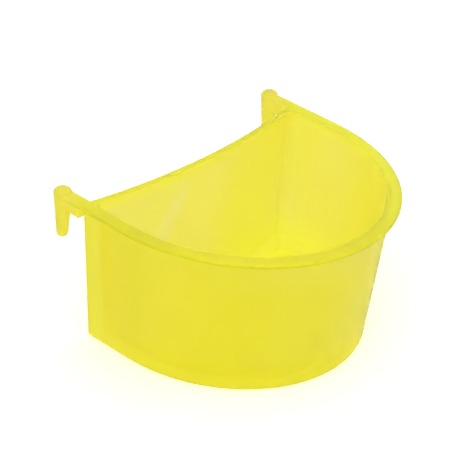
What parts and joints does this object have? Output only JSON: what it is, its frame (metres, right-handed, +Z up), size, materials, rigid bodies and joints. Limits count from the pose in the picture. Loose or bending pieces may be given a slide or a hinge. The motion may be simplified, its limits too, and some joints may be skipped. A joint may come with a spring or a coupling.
{
  "type": "bird cage feed cup",
  "caption": "Moulded half-round feed cup with an oval front, a flat-lipped rim, a bowed back wall and a pair of round hook pins that drop behind the wires of a bird cage.",
  "frame": {"origin": "centre of the overall box, in the plane that the base stands on", "axes": "+Z up, +Y towards the hook pins and the cage, -Y towards the rounded front, X across the cup"},
  "size_m": [0.086, 0.0738, 0.0451],
  "materials": {
    "yellow_plastic": "translucent yellow moulded plastic with a soft gloss"
  },
  "bodies": {
    "root": {"feed_cup": "yellow_plastic"}
  },
  "joints": []
}
